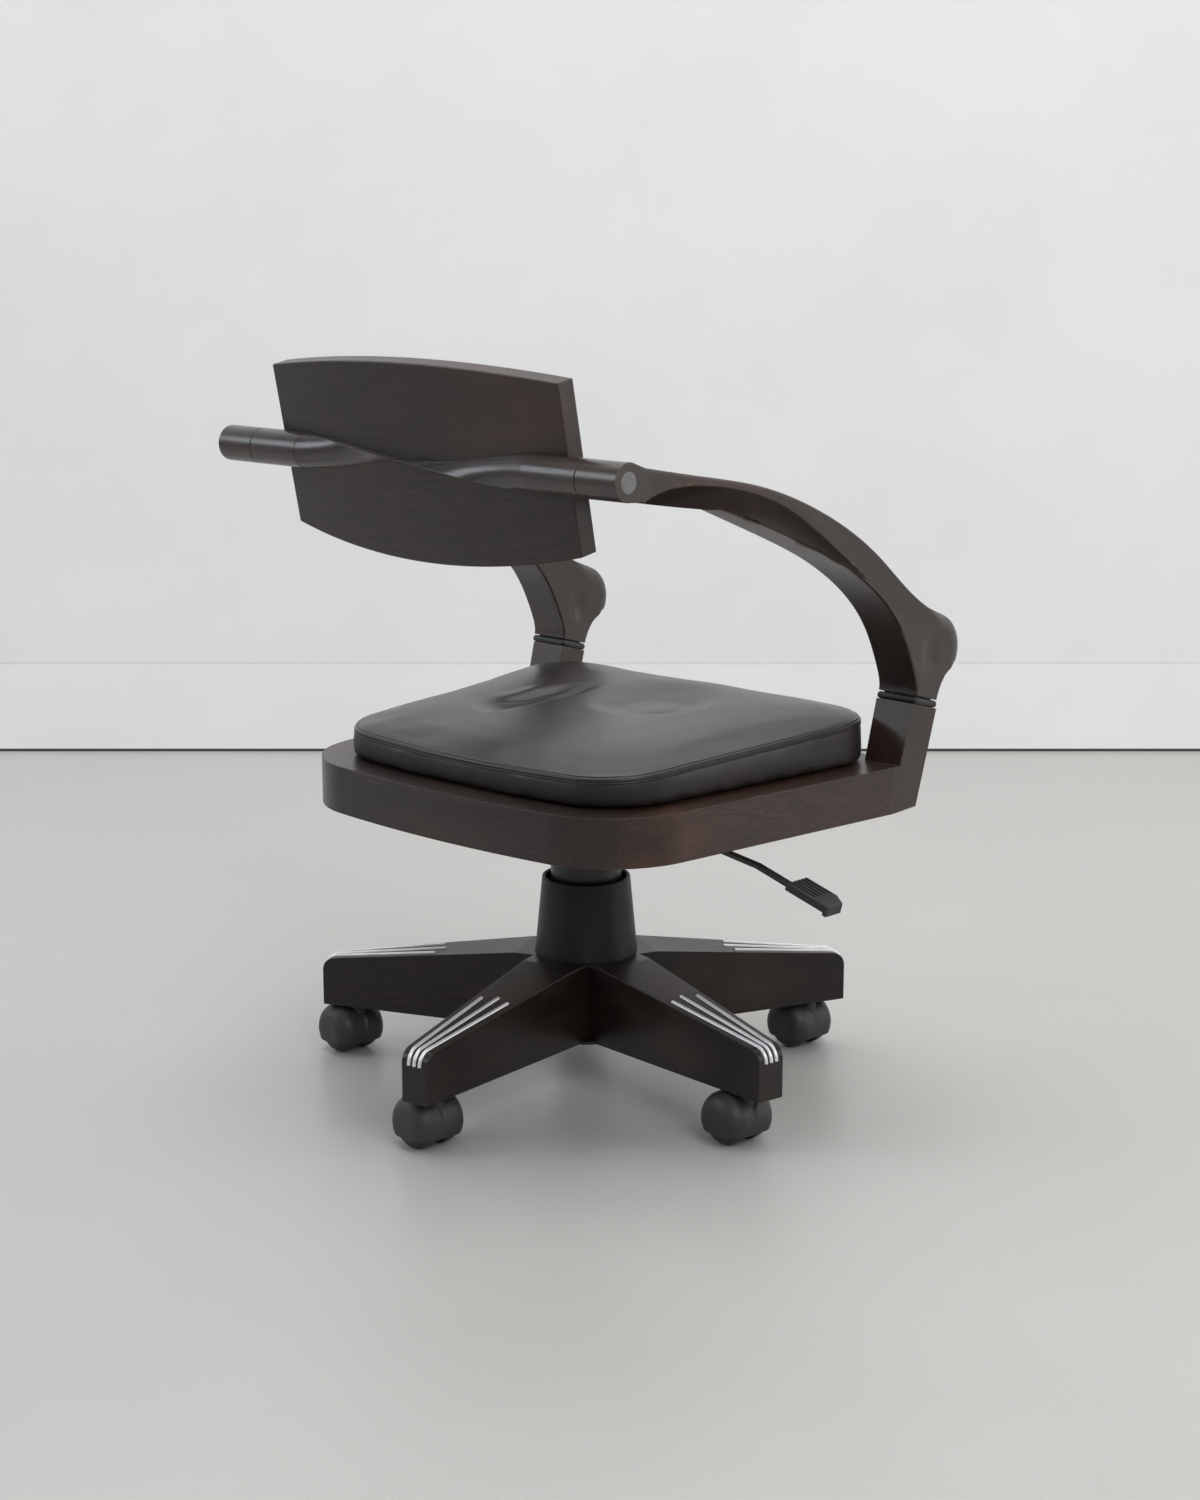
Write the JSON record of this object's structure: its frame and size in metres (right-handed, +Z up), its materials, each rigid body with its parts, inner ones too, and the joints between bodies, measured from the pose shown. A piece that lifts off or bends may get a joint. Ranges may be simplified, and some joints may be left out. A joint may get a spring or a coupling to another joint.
{
  "type": "swivel office armchair",
  "caption": "Wooden swivel armchair on casters: gas-lift column, crowned leather seat cushion, curved arms joined by a twisted rod that carries a tilting back panel.",
  "frame": {"origin": "on the floor, on the column's axis, under the middle of the five-legged base", "axes": "+Z up; -Y is where the sitter faces, so the backrest is at +Y; -X is the sitter's right, the lever's side"},
  "size_m": [0.6208, 0.5798, 0.7835],
  "materials": {
    "leg_wood": "satin dark stain, straight grain",
    "frame_wood": "satin dark stain, worn edges",
    "arm_wood": "satin dark stain, soft edges",
    "back_wood": "satin dark stain, grain running across",
    "plywood": "bare",
    "aluminium_rod": "satin",
    "cushion_leather": "soft grain, sewn welt",
    "black_steel": "satin black",
    "bright_steel": "turned",
    "pivot_steel": "satin",
    "bush_plastic": "moulded",
    "paddle_plastic": "fine texture",
    "bead_rubber": "smooth",
    "caster_plastic": "fine texture",
    "wheel_plastic": "smooth"
  },
  "bodies": {
    "base": {"leg_1": "leg_wood", "leg_2": "leg_wood", "leg_3": "leg_wood", "leg_4": "leg_wood", "leg_5": "leg_wood", "leg_inlays": "aluminium_rod", "hub_socket": "black_steel", "hub_screws": "bright_steel", "column_cone": "black_steel", "lift_tube": "black_steel", "guide_bush": "bush_plastic", "thrust_bearing": "bright_steel", "caster_sleeves": "bright_steel"},
    "piston": {"piston_rod": "bright_steel"},
    "seat": {"seat_rail_rear": "frame_wood", "seat_rail_left": "frame_wood", "seat_rail_right": "frame_wood", "seat_rail_front": "frame_wood", "arm_post_left": "frame_wood", "arm_post_right": "frame_wood", "seat_panel": "plywood", "seat_cushion": "cushion_leather", "seat_mechanism": "black_steel", "seat_screws": "bright_steel", "column_sleeve": "black_steel", "lift_cylinder": "bright_steel", "ankle_beads": "bead_rubber", "ankle_forks": "bright_steel", "lever_pin": "bright_steel"},
    "lever": {"lever_bar": "black_steel", "lever_paddle": "paddle_plastic"},
    "valve": {"valve_button": "bright_steel"},
    "arm_frame": {"arm_left": "arm_wood", "arm_right": "arm_wood", "arm_knuckles": "arm_wood", "arm_eyes": "bright_steel", "pivot_hardware": "pivot_steel"},
    "backrest": {"back_rod": "back_wood", "back_panel": "back_wood", "back_bushes": "bush_plastic"},
    "caster_1": {"caster_1_hood": "caster_plastic", "caster_1_pins": "bright_steel"},
    "wheel_1_left": {"caster_1_wheel_left": "wheel_plastic"},
    "wheel_1_right": {"caster_1_wheel_right": "wheel_plastic"},
    "caster_2": {"caster_2_hood": "caster_plastic", "caster_2_pins": "bright_steel"},
    "wheel_2_left": {"caster_2_wheel_left": "wheel_plastic"},
    "wheel_2_right": {"caster_2_wheel_right": "wheel_plastic"},
    "caster_3": {"caster_3_hood": "caster_plastic", "caster_3_pins": "bright_steel"},
    "wheel_3_left": {"caster_3_wheel_left": "wheel_plastic"},
    "wheel_3_right": {"caster_3_wheel_right": "wheel_plastic"},
    "caster_4": {"caster_4_hood": "caster_plastic", "caster_4_pins": "bright_steel"},
    "wheel_4_left": {"caster_4_wheel_left": "wheel_plastic"},
    "wheel_4_right": {"caster_4_wheel_right": "wheel_plastic"},
    "caster_5": {"caster_5_hood": "caster_plastic", "caster_5_pins": "bright_steel"},
    "wheel_5_left": {"caster_5_wheel_left": "wheel_plastic"},
    "wheel_5_right": {"caster_5_wheel_right": "wheel_plastic"}
  },
  "joints": [
    {"name": "swivel", "type": "hinge", "parent": "base", "child": "piston", "pos_m": [0, 0, 0.2], "axis": [0, 0, 1], "continuous": true},
    {"name": "lift", "type": "slide", "parent": "piston", "child": "seat", "axis": [0, 0, 1], "range_m": [0, 0.1]},
    {"name": "lever_pull", "type": "hinge", "parent": "seat", "child": "lever", "pos_m": [-0.04998, 0.00131, 0.327], "axis": [0.0262, 0.9997, 0], "range_deg": [0, 5], "stiffness_Nm_per_rad": 6, "springref_deg": -3.44},
    {"name": "valve_press", "type": "slide", "parent": "seat", "child": "valve", "axis": [0, 0, -1], "range_m": [0, 0.0045]},
    {"name": "arm_flex", "type": "hinge", "parent": "seat", "child": "arm_frame", "pos_m": [0, -0.22183, 0.41855], "axis": [-1, 0, 0], "range_deg": [0, 2.5], "stiffness_Nm_per_rad": 600, "springref_deg": -6.02},
    {"name": "back_tilt", "type": "hinge", "parent": "arm_frame", "child": "backrest", "pos_m": [0, 0.2386, 0.6845], "axis": [-1, 0, 0], "range_deg": [-10, 15]},
    {"name": "caster_1_swivel", "type": "hinge", "parent": "base", "child": "caster_1", "pos_m": [0.23612, 0.12031, 0.06], "axis": [0, 0, 1], "continuous": true},
    {"name": "wheel_1_left_roll", "type": "hinge", "parent": "caster_1", "child": "wheel_1_left", "pos_m": [0.25105, 0.11887, 0.026], "axis": [0.0958, 0.9954, 0], "continuous": true},
    {"name": "wheel_1_right_roll", "type": "hinge", "parent": "caster_1", "child": "wheel_1_right", "pos_m": [0.25105, 0.11887, 0.026], "axis": [0.0958, 0.9954, 0], "continuous": true},
    {"name": "caster_2_swivel", "type": "hinge", "parent": "base", "child": "caster_2", "pos_m": [-0.04145, 0.26174, 0.06], "axis": [0, 0, 1], "continuous": true},
    {"name": "wheel_2_left_roll", "type": "hinge", "parent": "caster_2", "child": "wheel_2_left", "pos_m": [-0.02652, 0.2603, 0.026], "axis": [0.0958, 0.9954, 0], "continuous": true},
    {"name": "wheel_2_right_roll", "type": "hinge", "parent": "caster_2", "child": "wheel_2_right", "pos_m": [-0.02652, 0.2603, 0.026], "axis": [0.0958, 0.9954, 0], "continuous": true},
    {"name": "caster_3_swivel", "type": "hinge", "parent": "base", "child": "caster_3", "pos_m": [-0.26174, 0.04145, 0.06], "axis": [0, 0, 1], "continuous": true},
    {"name": "wheel_3_left_roll", "type": "hinge", "parent": "caster_3", "child": "wheel_3_left", "pos_m": [-0.24681, 0.04002, 0.026], "axis": [0.0958, 0.9954, 0], "continuous": true},
    {"name": "wheel_3_right_roll", "type": "hinge", "parent": "caster_3", "child": "wheel_3_right", "pos_m": [-0.24681, 0.04002, 0.026], "axis": [0.0958, 0.9954, 0], "continuous": true},
    {"name": "caster_4_swivel", "type": "hinge", "parent": "base", "child": "caster_4", "pos_m": [-0.12031, -0.23612, 0.06], "axis": [0, 0, 1], "continuous": true},
    {"name": "wheel_4_left_roll", "type": "hinge", "parent": "caster_4", "child": "wheel_4_left", "pos_m": [-0.10538, -0.23755, 0.026], "axis": [0.0958, 0.9954, 0], "continuous": true},
    {"name": "wheel_4_right_roll", "type": "hinge", "parent": "caster_4", "child": "wheel_4_right", "pos_m": [-0.10538, -0.23755, 0.026], "axis": [0.0958, 0.9954, 0], "continuous": true},
    {"name": "caster_5_swivel", "type": "hinge", "parent": "base", "child": "caster_5", "pos_m": [0.18738, -0.18738, 0.06], "axis": [0, 0, 1], "continuous": true},
    {"name": "wheel_5_left_roll", "type": "hinge", "parent": "caster_5", "child": "wheel_5_left", "pos_m": [0.20231, -0.18882, 0.026], "axis": [0.0958, 0.9954, 0], "continuous": true},
    {"name": "wheel_5_right_roll", "type": "hinge", "parent": "caster_5", "child": "wheel_5_right", "pos_m": [0.20231, -0.18882, 0.026], "axis": [0.0958, 0.9954, 0], "continuous": true}
  ],
  "couplings": [
    {"joint": "valve_press", "follows": "lever_pull", "m_per_rad": 0.05}
  ]
}
